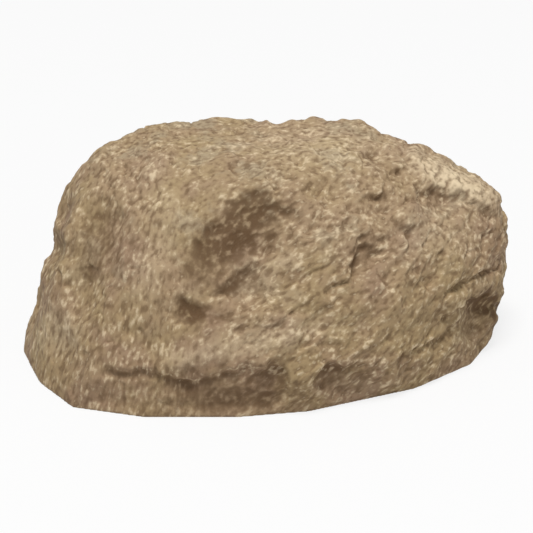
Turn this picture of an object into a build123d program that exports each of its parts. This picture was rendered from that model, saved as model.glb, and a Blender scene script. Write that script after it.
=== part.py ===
from build123d import *

import os
from math import asin, cos, degrees, exp, radians, sin
from typing import NamedTuple

# Hide-a-key rock: a hollow cast stone that stands on its rim, with a key compartment in its underside.
#
# The stone is a boulder form given by rings of corner points, with hollows and chips struck out of it.
# A moulded base plate is screwed up into a pocket in the rim, on a rubber seal. Over its mouth sits a
# tub that holds the keys, with a foam pad in its roof. A door slides under the mouth in two rails and
# leaves the stone at the back, where a strip of the stone itself, the lip, is bonded to the door.
#
# Millimetres. +X is the stone's right, +Y its back and +Z up. The origin is on the ground, under the
# middle of the stone.

# ---- the stone ---------------------------------------------------------------------------------
stone_length = 104.0
stone_depth = 69.0
stone_height = 46.0
stone_wall = 4.0  # thickness of the casting above its rim

# Corner points of the boulder, ring by ring: (x, y) as shares of half the length and half the depth,
# going round from the left by the front.
FOOT_SHARES = [
    (-1.00, -0.10), (-0.91, -0.52), (-0.76, -0.84), (-0.48, -0.96), (-0.10, -0.96), (0.17, -0.89),
    (0.60, -0.60), (0.84, -0.28), (0.94, 0.06), (0.97, 0.42), (0.84, 0.72), (0.48, 0.90),
    (0.00, 0.96), (-0.42, 0.90), (-0.80, 0.72), (-0.97, 0.32),
]
BELLY_SHARES = [
    (-0.965, -0.10), (-0.89, -0.50), (-0.68, -0.88), (-0.32, -1.00), (0.00, -1.00), (0.25, -0.93),
    (0.55, -0.72), (0.78, -0.43), (0.94, -0.08), (0.99, 0.25), (0.90, 0.66), (0.50, 0.93),
    (0.02, 1.00), (-0.45, 0.94), (-0.82, 0.72), (-0.94, 0.28),
]
WAIST_SHARES = [
    (-0.84, -0.38), (-0.60, -0.70), (-0.20, -0.86), (0.15, -0.84), (0.52, -0.67), (0.82, -0.33),
    (0.98, 0.00), (1.00, 0.30), (0.86, 0.66), (0.45, 0.88), (-0.02, 0.94), (-0.45, 0.88),
    (-0.82, 0.60), (-0.88, 0.05),
]
SHOULDER_SHARES = [
    (-0.82, 0.08), (-0.76, -0.24), (-0.48, -0.56), (-0.05, -0.66), (0.35, -0.58), (0.68, -0.28),
    (0.94, 0.08), (0.86, 0.36), (0.70, 0.60), (0.35, 0.76), (-0.15, 0.78), (-0.58, 0.62),
]
BROW_SHARES = [
    (-0.69, 0.12), (-0.61, -0.14), (-0.28, -0.38), (0.10, -0.42), (0.40, -0.28), (0.60, 0.05),
    (0.59, 0.30), (0.40, 0.56), (-0.10, 0.62), (-0.56, 0.46),
]
CROWN_SHARES = [
    (-0.49, 0.34), (-0.36, -0.06), (0.02, -0.16), (0.27, -0.04), (0.42, 0.36), (0.15, 0.46),
    (-0.24, 0.46),
]
# Each ring with its height, as a share of the stone's height.
RING_SHARES = [
    (0.00, FOOT_SHARES),
    (0.16, BELLY_SHARES),
    (0.50, WAIST_SHARES),
    (0.75, SHOULDER_SHARES),
    (0.93, BROW_SHARES),
    (1.00, CROWN_SHARES),
]


class Hollow(NamedTuple):
    """A shallow cap of a ball that is struck out of the stone."""

    place: tuple  # on the stone, as shares of half the length, half the depth and the height
    facing: tuple  # the way out of the stone there
    radius: float  # of the ball, as a share of the stone's height
    depth: float  # of the cap, as a share of the stone's height


HOLLOW_SHARES = {
    "left_waist": Hollow((-0.86, -0.16, 0.52), (-0.94, -0.15, 0.30), 0.52, 0.033),
    "front": Hollow((-0.03, -0.70, 0.66), (0.12, -0.87, 0.48), 0.43, 0.052),
    "brow": Hollow((0.46, -0.42, 0.80), (0.38, -0.63, 0.67), 0.30, 0.030),
    "right_heel": Hollow((0.87, -0.24, 0.22), (0.82, -0.57, -0.10), 0.26, 0.030),
    "front_toe": Hollow((0.00, -0.99, 0.06), (0.05, -0.96, -0.28), 0.24, 0.030),
    "right_toe": Hollow((0.36, -0.85, 0.07), (0.42, -0.88, -0.22), 0.26, 0.026),
    "crown": Hollow((-0.05, 0.16, 1.00), (0.00, 0.00, 1.00), 1.13, 0.020),
    "back": Hollow((0.22, 0.92, 0.56), (0.20, 0.94, 0.28), 0.65, 0.048),
    "back_left": Hollow((-0.66, 0.76, 0.50), (-0.62, 0.74, 0.26), 0.48, 0.039),
}


class Chip(NamedTuple):
    """A smaller cap, where a flake has broken out, that lies a given way from the stone's heart.

    The way is measured with the stone squeezed into half a ball above its heart, so a chip keeps its
    place on the stone when the stone's sizes change.
    """

    turn: float  # degrees round the heart, from the stone's right towards its back
    rise: float  # degrees above level
    width: float  # of the cap, as a share of the stone's height
    depth: float  # of the cap, as a share of the stone's height


heart_share = 0.35  # how high the heart lies, as a share of the stone's height
chip_blend = 0.03  # flat faces this near to a chip, as a share of the height, count in its way out
FRONT_CHIPS = {
    "hollow_brow": Chip(-91, 49, 0.24, 0.030),
    "hollow_heel": Chip(-105, 18, 0.26, 0.034),
    "right_hollow_foot": Chip(-59, 31, 0.26, 0.026),
    "top_dimple": Chip(-1, 64, 0.18, 0.020),
    "left_valley": Chip(-153, 41, 0.30, 0.022),
    "left_dimple": Chip(-141, 12, 0.26, 0.026),
    "left_foot": Chip(-143, -11, 0.22, 0.022),
    "left_scallop": Chip(-107, -14, 0.25, 0.030),
    "middle_scallop": Chip(-89, -14, 0.20, 0.026),
    "right_scallop": Chip(-73, -15, 0.24, 0.028),
    "heel_step": Chip(-37, -7, 0.24, 0.028),
    "heel_notch": Chip(-14, -8, 0.20, 0.028),
    "right_crease": Chip(-22, 11, 0.22, 0.022),
    "right_brow": Chip(-14, 43, 0.26, 0.024),
    "right_cheek": Chip(-43, 16, 0.24, 0.022),
    "left_brow": Chip(-165, 60, 0.22, 0.020),
    "left_belly": Chip(-120, -2, 0.24, 0.020),
    "middle_belly": Chip(-77, 4, 0.26, 0.022),
    "low_middle": Chip(-95, -1, 0.18, 0.018),
    "middle_brow": Chip(-57, 61, 0.24, 0.022),
    "top_left": Chip(-165, 76, 0.24, 0.018),
}
# The chips on the rest of the stone lie on a spiral that climbs from its belly to its crown.
spiral_steps = 60
spiral_turn = 137.5  # degrees from one step to the next
spiral_low = -14.0  # degrees above level, at its foot
spiral_high = 80.0
spiral_spacing = 17.0  # degrees, as seen from the heart, that they keep from a named hollow or chip
spiral_widths = (0.22, 0.30, 0.26)  # of the chips in turn, as shares of the stone's height
spiral_depths = (0.022, 0.026, 0.030, 0.024)

# ---- the rim, the base plate's seat and its screws ---------------------------------------------
rim_width = 4.5  # width of the foot that the stone stands on
seat_width = 2.6  # how far the ledge that clamps the plate reaches in from the pocket
seat_thickness = 3.0
plate_thickness = 3.0
seal_thickness = 0.8
seal_strip = 1.0  # of the base seal's width that runs on where the tub comes close
fit_gap = 0.3  # clearance round the base plate in its pocket

screw_radius = 1.5
screw_length = 8.0
screw_head_radius = 2.7
screw_hole_gap = 0.2  # round a screw, in the plate and the seal
screw_tip_gap = 1.0  # past a screw's tip, in its boss
socket_radius = 1.1  # of the hexagon socket in a screw's head, over its corners
socket_depth = 1.3
insert_radius = 2.1
insert_length = 5.0
insert_gap = 0.03  # the glue film round an insert, and the thread's clearance in it
boss_radius = 3.6
boss_roof = 2.5  # solid casting over a screw's tip
boss_web_length = 12.0  # how far a boss's web reaches out, into the stone's wall

# ---- the key compartment -----------------------------------------------------------------------
compartment_x = -4.5
compartment_y = 2.0
key_space_length = 60.0
key_space_width = 28.0
key_space_height = 16.0  # from the door up to the roof of the tub
key_space_corner = 4.0
tub_wall = 1.6
tub_flange_width = 2.0
tub_flange_thickness = 2.0
tub_gap = 0.5  # between the tub or its seal and the casting or its seal
ear_spacing = 30.0  # between the two ears on each long side of the tub
ear_radius = 3.0
tub_screw_radius = 1.0
tub_screw_head_radius = 1.8
tub_screw_head_height = 1.2
tub_screw_wall_gap = 0.3  # from a screw's head to the tub's wall
tub_screw_hole_gap = 0.1
tub_screw_skin = 0.8  # of the plate left under a screw's tip
driver_slot_width = 0.5
foam_thickness = 3.0
foam_gap = 0.5  # round the pad, in the tub

# ---- the door ----------------------------------------------------------------------------------
door_ground_gap = 0.8
door_thickness = 2.2
door_overlap = 2.5  # how far the door reaches past the mouth on each side
door_running_gap = 0.3
door_corner = 1.5
tongue_width = 1.6
tongue_thickness = 1.0
rail_thickness = 1.8
rail_end_gap = 1.0  # from the rails' back ends to the back of the door
stop_length = 40.0  # of the bar that the door closes against
mouth_seal_width = 1.0
mouth_seal_margin = 0.6  # from the mouth's edge to the seal
mouth_seal_depth = 1.0  # of its groove in the plate
mouth_seal_proud = 0.2  # how far it stands out of the groove, towards the door
lip_ground_gap = 0.4
lip_side_gap = 0.35  # between the lip and the stone, on each side
lip_top_gap = 0.3
lap_length = 4.0  # of the door's tongue that is bonded on top of the lip
grip_rib_count = 6
grip_rib_pitch = 2.0
grip_rib_width = 0.8
grip_rib_height = 0.4
grip_rib_length = 22.0
grip_offset = 7.0  # of the last rib, behind the middle of the door

# ---- levels and sizes that follow --------------------------------------------------------------
half_length = stone_length / 2
half_depth = stone_depth / 2
door_bottom = door_ground_gap
door_top = door_bottom + door_thickness
tongue_bottom = door_top - tongue_thickness
plate_bottom = door_top + door_running_gap
plate_top = plate_bottom + plate_thickness
seat_level = plate_top + seal_thickness
cavity_level = seat_level + seat_thickness
screw_hole_top = plate_bottom + screw_length + screw_tip_gap
boss_top = screw_hole_top + boss_roof
flange_top = seat_level + tub_flange_thickness
tub_roof = door_top + key_space_height
tub_length = key_space_length + 2 * tub_wall
tub_width = key_space_width + 2 * tub_wall
tub_corner = key_space_corner + tub_wall
flange_length = tub_length + 2 * tub_flange_width
flange_width = tub_width + 2 * tub_flange_width
tub_screw_tip = plate_bottom + tub_screw_skin
door_width = key_space_length + 2 * door_overlap
door_depth = key_space_width + 2 * door_overlap
door_body_width = door_width - 2 * tongue_width
door_front = compartment_y - door_depth / 2
door_back = compartment_y + door_depth / 2
rail_inner = door_width / 2 + door_running_gap  # from the middle of the door
rail_outer = rail_inner + rail_thickness
notch_width = door_width + 2 * lip_side_gap
notch_top = door_top + lip_top_gap
far = 3 * max(stone_length, stone_depth, stone_height)  # past everything


# ---- forms that the pieces share ---------------------------------------------------------------
def boulder(shrink=0.0):
    """The boulder form, closed by its flat foot, with every side and the top moved in by shrink."""
    return ConvexPolyhedron(
        [
            (x * (half_length - shrink), y * (half_depth - shrink), height * (stone_height - shrink))
            for height, ring in RING_SHARES
            for x, y in ring
        ]
    )


def in_stone(share):
    """The point of the stone for a share of half the length, half the depth and the height over the heart."""
    height = (heart_share + share.Z * (1 - heart_share)) * stone_height
    return Vector(share.X * half_length, share.Y * half_depth, height)


def way_of_hollow(hollow):
    """The way from the heart to a hollow, in shares."""
    x, y, height = hollow.place
    return Vector(x, y, (height - heart_share) / (1 - heart_share)).normalized()


def way_of_chip(chip):
    """The way from the heart to a chip, in shares."""
    turn, rise = radians(chip.turn), radians(chip.rise)
    return Vector(cos(rise) * cos(turn), cos(rise) * sin(turn), sin(rise))


def spiral_chips():
    """The chips along the spiral, without those that would come close to a named hollow or chip."""
    named = [way_of_hollow(hollow) for hollow in HOLLOW_SHARES.values()]
    named += [way_of_chip(chip) for chip in FRONT_CHIPS.values()]
    low, high = sin(radians(spiral_low)), sin(radians(spiral_high))
    chips = []
    for step in range(spiral_steps):
        rise = degrees(asin(low + (high - low) * step / (spiral_steps - 1)))
        width = spiral_widths[step % len(spiral_widths)]
        chip = Chip(step * spiral_turn, rise, width, spiral_depths[step % len(spiral_depths)])
        if all(way_of_chip(chip).dot(way) < cos(radians(spiral_spacing)) for way in named):
            chips.append(chip)
    return chips


def chip_balls():
    """The balls that strike the chips."""
    heart = in_stone(Vector(0, 0, 0))
    planes = [(face.center(), face.normal_at()) for face in boulder().faces()]
    balls = []
    for chip in [*FRONT_CHIPS.values(), *spiral_chips()]:
        way = in_stone(way_of_chip(chip)) - heart
        surface = heart + way * min(
            (middle - heart).dot(normal) / way.dot(normal) for middle, normal in planes if way.dot(normal) > 0
        )
        out = Vector(0, 0, 0)
        for middle, normal in planes:
            nearness = (middle - surface).dot(normal) / (chip_blend * stone_height)
            out += normal * exp(-(nearness**2))
        depth = chip.depth * stone_height
        radius = ((chip.width * stone_height / 2) ** 2 + depth**2) / (2 * depth)
        balls.append(Pos(*(surface + out.normalized() * (radius - depth))) * Sphere(radius))
    return balls


def hollow_balls(grow=0.0):
    """The balls that strike the hollows, each grown by grow."""
    balls = []
    for hollow in HOLLOW_SHARES.values():
        x, y, height = hollow.place
        surface = Vector(x * half_length, y * half_depth, height * stone_height)
        out = (hollow.radius - hollow.depth) * stone_height
        centre = surface + Vector(*hollow.facing).normalized() * out
        balls.append(Pos(*centre) * Sphere(hollow.radius * stone_height + grow))
    return balls


def stone_body():
    """The whole stone, solid, with its hollows and chips."""
    return boulder() - hollow_balls() - chip_balls()


def footprint(inset, bottom, top):
    """A prism on the outline of the stone's foot, moved in by inset, from bottom to top."""
    outline = make_face(Polyline(*[(x * half_length, y * half_depth) for x, y in FOOT_SHARES], close=True))
    inner = offset(outline, amount=-inset, kind=Kind.INTERSECTION)
    return Pos(Z=bottom) * extrude(inner, top - bottom)


def slab(x, y, bottom, top, length, width, corner=0.0):
    """A flat block centred at (x, y), from bottom to top, with rounded upright corners."""
    outline = RectangleRounded(length, width, corner) if corner else Rectangle(length, width)
    return Pos(x, y, bottom) * extrude(outline, top - bottom)


def over_mouth(bottom, top, length, width, corner=0.0):
    """A flat block centred on the key compartment."""
    return slab(compartment_x, compartment_y, bottom, top, length, width, corner)


def rod(x, y, bottom, top, radius):
    """An upright cylinder."""
    return Pos(x, y, bottom) * extrude(Circle(radius), top - bottom)


def key_space(bottom, top):
    """The room for the keys, with the mouth's outline."""
    return over_mouth(bottom, top, key_space_length, key_space_width, key_space_corner)


def tub_screw_places():
    """(x, y) of the screws that hold the tub, one in each ear."""
    out = tub_width / 2 + tub_screw_wall_gap + tub_screw_head_radius
    return [
        (compartment_x + side_x * ear_spacing / 2, compartment_y + side_y * out)
        for side_x in (-1, 1)
        for side_y in (-1, 1)
    ]


def flange_block(bottom, top, grow=0.0):
    """The outline of the tub's flange and ears, moved out by grow."""
    corner = tub_corner + tub_flange_width + grow
    block = over_mouth(bottom, top, flange_length + 2 * grow, flange_width + 2 * grow, corner)
    for x, y in tub_screw_places():
        block += rod(x, y, bottom, top, ear_radius + grow)
    return block


def base_screw_places():
    """Each base screw's (x, y), midway between the tub and the rim, with the way from it to the rim."""
    pocket = footprint(rim_width, 0, seat_level).bounding_box()
    left = (pocket.min.X + compartment_x - flange_length / 2) / 2
    right = (pocket.max.X + compartment_x + flange_length / 2) / 2
    front = (pocket.min.Y + compartment_y - flange_width / 2) / 2
    back = (pocket.max.Y + compartment_y + flange_width / 2) / 2
    return [
        (left, compartment_y, (-1, 0)),
        (right, compartment_y, (1, 0)),
        (compartment_x, front, (0, -1)),
        (compartment_x, back, (0, 1)),
    ]


# ---- the casting -------------------------------------------------------------------------------
def boss(x, y, outward):
    """One screw boss: a post with a web that runs out into the stone's wall."""
    web_x = x + outward[0] * boss_web_length / 2
    web_y = y + outward[1] * boss_web_length / 2
    web_length = boss_web_length if outward[0] else 2 * boss_radius
    web_width = boss_web_length if outward[1] else 2 * boss_radius
    post = rod(x, y, seat_level, boss_top, boss_radius)
    web = slab(web_x, web_y, seat_level, boss_top, web_length, web_width)
    return (post + web) & boulder(stone_wall / 2)


def door_notch():
    """The way out at the back of the rim, through which the door and its lip slide."""
    return slab(compartment_x, compartment_y + far / 2, 0, notch_top, notch_width, far)


def rock_shell():
    """The hollow casting: the stone less its cavity, its pocket for the plate and the door's way out."""
    above_seat = slab(0, 0, cavity_level, far, far, far)
    cavity = (boulder(stone_wall) & above_seat) - hollow_balls(stone_wall)
    opening = footprint(rim_width + seat_width, seat_level, cavity_level)
    pocket = footprint(rim_width, 0, seat_level)
    shell = stone_body() - cavity - opening - pocket - door_notch()
    for x, y, outward in base_screw_places():
        shell += boss(x, y, outward)
    shell -= flange_block(seat_level, boss_top, tub_gap)
    for x, y, _ in base_screw_places():
        shell -= rod(x, y, seat_level, screw_hole_top, screw_radius + screw_hole_gap)
        shell -= rod(x, y, seat_level, seat_level + insert_length, insert_radius + insert_gap)
    return shell


def threaded_inserts():
    """Brass inserts set into the bosses, one for each base screw."""
    top = seat_level + insert_length
    return [
        rod(x, y, seat_level, top, insert_radius) - rod(x, y, seat_level, top, screw_radius + insert_gap)
        for x, y, _ in base_screw_places()
    ]


def inside_strip(bottom, top, gap=0.0):
    """Everything inside the strip of the base seal that always runs on, less a gap."""
    return footprint(rim_width + fit_gap + seal_strip + gap, bottom, top)


def base_seal():
    """The rubber seal between the plate and the seat, with an ear round each base screw."""
    ring = footprint(rim_width + fit_gap, plate_top, seat_level)
    ring -= footprint(rim_width + seat_width, plate_top, seat_level)
    for x, y, outward in base_screw_places():
        ring += rod(x, y, plate_top, seat_level, boss_radius)
        ring += slab(
            x + outward[0] * boss_radius,
            y + outward[1] * boss_radius,
            plate_top,
            seat_level,
            2 * boss_radius,
            2 * boss_radius,
        )
    ring -= flange_block(plate_top, seat_level, tub_gap)
    ring += footprint(rim_width + fit_gap, plate_top, seat_level) - inside_strip(plate_top, seat_level)
    ring &= footprint(rim_width + fit_gap, plate_top, seat_level)
    for x, y, _ in base_screw_places():
        ring -= rod(x, y, plate_top, seat_level, screw_radius + screw_hole_gap)
    return ring


# ---- the base plate and its screws -------------------------------------------------------------
def rail(side):
    """A rail under the plate, on the left (-1) or the right (1): a web, and a hook under the tongue."""
    back = door_back - rail_end_gap
    middle = (door_front + back) / 2
    hook_inner = door_body_width / 2 + door_running_gap
    hook_top = tongue_bottom - door_running_gap
    web_x = compartment_x + side * (rail_inner + rail_outer) / 2
    hook_x = compartment_x + side * (hook_inner + rail_outer) / 2
    web = slab(web_x, middle, door_bottom, plate_bottom, rail_thickness, back - door_front)
    hook = slab(hook_x, middle, door_bottom, hook_top, rail_outer - hook_inner, back - door_front)
    return web + hook


def closing_stop():
    """The bar under the plate, in front of the door, that stops it when it closes."""
    middle = door_front - door_running_gap - rail_thickness / 2
    return slab(compartment_x, middle, door_bottom, plate_bottom, stop_length, rail_thickness)


def mouth_ring(bottom, top):
    """The ring round the mouth that the mouth seal fills."""
    inner = mouth_seal_margin
    outer = mouth_seal_margin + mouth_seal_width
    rings = [
        over_mouth(bottom, top, key_space_length + 2 * out, key_space_width + 2 * out, key_space_corner + out)
        for out in (outer, inner)
    ]
    return rings[0] - rings[1]


def countersink(gap=0.0):
    """The cone of a base screw's head, standing on its wide face, with a gap round it."""
    height = screw_head_radius - screw_radius
    standing = (Align.CENTER, Align.CENTER, Align.MIN)
    return Cone(screw_head_radius + gap, screw_radius + gap, height, align=standing)


def base_plate():
    """The moulded plate: mouth, rails, closing stop, seal groove and holes for both sets of screws."""
    plate = footprint(rim_width + fit_gap, plate_bottom, plate_top)
    plate += [rail(-1), rail(1), closing_stop()]
    plate -= key_space(plate_bottom, plate_top)
    plate -= mouth_ring(plate_bottom, plate_bottom + mouth_seal_depth)
    for x, y, _ in base_screw_places():
        plate -= rod(x, y, plate_bottom, plate_top, screw_radius + screw_hole_gap)
        plate -= Pos(x, y, plate_bottom) * countersink(screw_hole_gap)
    for x, y in tub_screw_places():
        plate -= rod(x, y, tub_screw_tip, plate_top, tub_screw_radius)
    return plate


def base_screws():
    """Countersunk socket screws, from under the plate up into the inserts."""
    socket = extrude(RegularPolygon(socket_radius, 6), socket_depth)
    screw = countersink() + extrude(Circle(screw_radius), screw_length) - socket
    return [Pos(x, y, plate_bottom) * screw for x, y, _ in base_screw_places()]


def mouth_seal():
    """A rubber ring in the plate's groove. It brushes the door, which keeps rain out."""
    return mouth_ring(plate_bottom - mouth_seal_proud, plate_bottom + mouth_seal_depth)


# ---- the tub -----------------------------------------------------------------------------------
def key_tub():
    """The moulded tub over the mouth, with four ears that screws hold down."""
    tub = flange_block(seat_level, flange_top)
    tub += over_mouth(seat_level, tub_roof + tub_wall, tub_length, tub_width, tub_corner)
    tub -= key_space(seat_level, tub_roof)
    for x, y in tub_screw_places():
        tub -= rod(x, y, seat_level, flange_top, tub_screw_radius + tub_screw_hole_gap)
    return tub


def tub_seal():
    """The rubber seal under the tub's flange."""
    seal = flange_block(plate_top, seat_level) & inside_strip(plate_top, seat_level, tub_gap)
    seal -= key_space(plate_top, seat_level)
    for x, y in tub_screw_places():
        seal -= rod(x, y, plate_top, seat_level, tub_screw_radius + tub_screw_hole_gap)
    return seal


def tub_screws():
    """Pan-head screws, from inside down through the ears and the seal into the plate."""
    head_top = flange_top + tub_screw_head_height
    slot_bottom = head_top - tub_screw_head_height / 2
    screw = rod(0, 0, tub_screw_tip, flange_top, tub_screw_radius)
    screw += rod(0, 0, flange_top, head_top, tub_screw_head_radius)
    screw -= slab(0, 0, slot_bottom, head_top, far, driver_slot_width)
    return [Pos(x, y) * screw for x, y in tub_screw_places()]


def foam_pad():
    """A soft pad in the tub's roof, so that the keys don't rattle."""
    length = key_space_length - 2 * foam_gap
    width = key_space_width - 2 * foam_gap
    return over_mouth(tub_roof - foam_thickness, tub_roof, length, width, key_space_corner - foam_gap)


# ---- the door ----------------------------------------------------------------------------------
def lap(bottom, top, depth):
    """The door's tongue where it runs on past the back of the door, over the lip."""
    return slab(compartment_x, door_back + depth / 2, bottom, top, door_body_width, depth)


def door_plate():
    """The sliding door: a plate with a tongue in each rail, ribs for a thumb and a lap for the lip."""
    plate = over_mouth(door_bottom, door_top, door_body_width, door_depth)
    plate += over_mouth(tongue_bottom, door_top, door_width, door_depth, door_corner)
    plate += lap(tongue_bottom, door_top, lap_length)
    for number in range(grip_rib_count):
        y = compartment_y + grip_offset - number * grip_rib_pitch
        rib_bottom = door_bottom - grip_rib_height
        plate += slab(compartment_x, y, rib_bottom, door_bottom, grip_rib_length, grip_rib_width)
    return plate


def door_lip():
    """The strip of stone that closes the door's way out, rebated for the door's lap."""
    block = slab(compartment_x, door_back + far / 2, lip_ground_gap, door_top, door_width, far)
    return (stone_body() & block) - lap(tongue_bottom, door_top, lap_length)


# ---- writing the pieces ------------------------------------------------------------------------
PIECES = [
    rock_shell,
    threaded_inserts,
    base_seal,
    base_plate,
    base_screws,
    mouth_seal,
    key_tub,
    tub_seal,
    tub_screws,
    foam_pad,
    door_plate,
    door_lip,
]

os.makedirs("parts", exist_ok=True)
for make in PIECES:
    made = make()
    if isinstance(made, list):
        made = Compound(children=[solid for one in made for solid in one.solids()])
    export_step(made, f"parts/{make.__name__}.step")
    print(make.__name__, f"{made.volume / 1000:.2f} cm3")
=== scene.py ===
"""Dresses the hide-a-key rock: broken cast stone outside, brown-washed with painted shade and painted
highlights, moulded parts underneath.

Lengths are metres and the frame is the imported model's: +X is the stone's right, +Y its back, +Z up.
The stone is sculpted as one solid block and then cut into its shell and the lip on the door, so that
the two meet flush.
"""

import logging
import math
from collections.abc import Iterator
from dataclasses import dataclass
from enum import Enum
from typing import Any

import bmesh
import bpy
import numpy as np
from mathutils import Euler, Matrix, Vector
from mathutils.bvhtree import BVHTree


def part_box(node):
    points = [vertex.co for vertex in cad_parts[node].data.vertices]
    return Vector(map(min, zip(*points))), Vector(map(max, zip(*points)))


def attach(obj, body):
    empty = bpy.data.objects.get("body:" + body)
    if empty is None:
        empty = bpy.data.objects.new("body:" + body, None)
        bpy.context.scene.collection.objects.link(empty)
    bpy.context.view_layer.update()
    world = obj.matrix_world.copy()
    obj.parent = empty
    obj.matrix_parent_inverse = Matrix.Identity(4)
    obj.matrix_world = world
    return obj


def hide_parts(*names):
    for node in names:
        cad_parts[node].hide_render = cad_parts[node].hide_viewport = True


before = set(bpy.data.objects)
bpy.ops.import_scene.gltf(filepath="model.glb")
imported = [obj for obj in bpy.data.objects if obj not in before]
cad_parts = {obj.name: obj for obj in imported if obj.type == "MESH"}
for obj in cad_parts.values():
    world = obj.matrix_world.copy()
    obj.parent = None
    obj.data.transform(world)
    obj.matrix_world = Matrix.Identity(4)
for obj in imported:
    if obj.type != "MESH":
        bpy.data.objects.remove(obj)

MM = 0.001
BELOW_GROUND = -2 * MM  # where a cutter that is open at the ground ends
PAST_BACK = 10 * MM  # how far a cutter goes on behind the stone
log = logging.getLogger("rock")

Rows = np.ndarray  # three numbers for each point
Numbers = np.ndarray  # one number for each point
Pixel = tuple[float, float]
Corner = tuple[float, float, float]
Color = tuple[float, float, float, float]
Lay = tuple[Corner, Corner]  # grain's stretch along its own axes, and the degrees that they are turned
Layer = tuple[int, float, float]  # crumbs' grain, their height in millimetres and their size


# ---- small maths --------------------------------------------------------------------------------
def smoothstep(low: float, high: float, value: Numbers) -> Numbers:
    """A smooth ramp.

    Args:
        low: The value at which the ramp leaves 0.
        high: The value at which it reaches 1.
        value: The values to put on the ramp.

    Returns:
        Numbers from 0 to 1.
    """
    share = np.clip((value - low) / (high - low), 0.0, 1.0)
    return share * share * (3.0 - 2.0 * share)


def row_dot(first: Rows, second: Rows) -> Numbers:
    """The dot product of each row of the first with the same row of the second."""
    return np.einsum("ij,ij->i", first, second)


def paint(red: int, green: int, blue: int) -> Color:
    """A paint's colour.

    Args:
        red: 0 to 255, as on a screen.
        green: The same.
        blue: The same.

    Returns:
        The colour for a node: linear red, green and blue, and 1 for alpha.
    """
    shares = [channel / 255 for channel in (red, green, blue)]
    linear = [share / 12.92 if share <= 0.04045 else ((share + 0.055) / 1.055) ** 2.4 for share in shares]
    return (linear[0], linear[1], linear[2], 1.0)


class Grain:
    """Seeded gradient noise and cells, worked out for many points at once."""

    SIZE = 256  # entries in the lattice, a power of 2
    GAIN = 1.6  # brings soft noise to about -1 to 1
    TILT = 1.1  # how strongly a plane slopes
    SWELL_SHIFT = 17.3  # wavelengths between one layer's place in the lattice and the next's
    CREST_SHIFT = 31.7  # the same for crests
    CREST_POWER = 0.8  # under 1 for sharper crests

    def __init__(self, seed: int) -> None:
        """Shuffles the lattice.

        Args:
            seed: Any whole number. The same seed gives the same grain.
        """
        random = np.random.default_rng(seed)
        self.order = random.permutation(self.SIZE)
        slopes = random.normal(size=(self.SIZE, 3))
        self.slopes = slopes / np.linalg.norm(slopes, axis=1, keepdims=True)
        self.jitter = random.random((self.SIZE, 3))

    def _key(self, corners: Rows) -> Numbers:
        """The lattice entry of corners.

        Args:
            corners: Whole numbers, a row for each point.

        Returns:
            An entry for each.
        """
        key = np.zeros(len(corners), int)
        for column in corners.T:
            key = self.order[(key + column) & (self.SIZE - 1)]
        return key

    def _cells(self, points: Rows, size: float) -> Iterator[tuple[Numbers, Rows]]:
        """Goes through the 27 cells round each point, each of which holds a seed.

        Args:
            points: Where to look.
            size: How wide a cell is.

        Yields:
            Each point's entry in the lattice there, and how far it is from that cell's seed, in cells.
        """
        scaled = points / size
        base = np.floor(scaled).astype(int)
        for step in np.ndindex(3, 3, 3):
            corner = base + np.array(step) - 1
            key = self._key(corner)
            yield key, scaled - corner - self.jitter[key]

    def soft(self, points: Rows, wavelength: float) -> Numbers:
        """Smooth noise.

        Args:
            points: Where to work it out.
            wavelength: About how far apart its swells are.

        Returns:
            Numbers from about -1 to 1.
        """
        scaled = points / wavelength
        base = np.floor(scaled).astype(int)
        offset = scaled - base
        fade = offset**3 * (offset * (offset * 6 - 15) + 10)
        total = np.zeros(len(points))
        for corner in np.ndindex(2, 2, 2):
            step = np.array(corner)
            height = row_dot(self.slopes[self._key(base + step)], offset - step)
            total += np.where(step == 1, fade, 1 - fade).prod(axis=1) * height
        return total * self.GAIN

    def layered(
        self, points: Rows, wavelength: float, layers: int, keep: float = 0.5, crested: bool = False
    ) -> Numbers:
        """Noise in several sizes, each half as long as the one before.

        Args:
            points: Where to work it out.
            wavelength: Of the longest swells.
            layers: How many sizes.
            keep: How strong each size is beside the one before.
            crested: Whether it has sharp crests and round valleys.

        Returns:
            Numbers from about -1 to 1.
        """
        total = np.zeros(len(points))
        strength, whole = 1.0, 0.0
        for layer in range(layers):
            shift = (self.CREST_SHIFT if crested else self.SWELL_SHIFT) * layer * wavelength
            noise = self.soft(points + shift, wavelength / 2**layer)
            total += strength * (1 - 2 * np.abs(noise) ** self.CREST_POWER if crested else noise)
            whole += strength
            strength *= keep
        return total / whole

    def planes(self, points: Rows, size: float, hardness: float = 14.0) -> Numbers:
        """Small broken planes, each tilted its own way and at its own level, as where stone has chipped.

        Args:
            points: Where to work them out.
            size: About how wide a plane is.
            hardness: How sharply one plane turns into the next.

        Returns:
            Heights from about -1 to 1.
        """
        total = np.zeros(len(points))
        whole = np.full(len(points), 1e-12)
        for key, offset in self._cells(points, size):
            weight = np.exp(-hardness * row_dot(offset, offset))
            total += weight * (self.TILT * row_dot(self.slopes[key], offset) + self.jitter[key, 0] - 0.5)
            whole += weight
        return total / whole

    def crumbs(self, points: Rows, size: float) -> Numbers:
        """Small rounded crumbs that stand close together.

        Args:
            points: Where to work them out.
            size: About how wide a crumb is.

        Returns:
            Heights, 0.6 on the crumbs and -0.6 between them.
        """
        nearest = np.full(len(points), 0.75)
        for _, offset in self._cells(points, size):
            nearest = np.minimum(nearest, row_dot(offset, offset))
        return 0.6 - 1.6 * nearest


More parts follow.
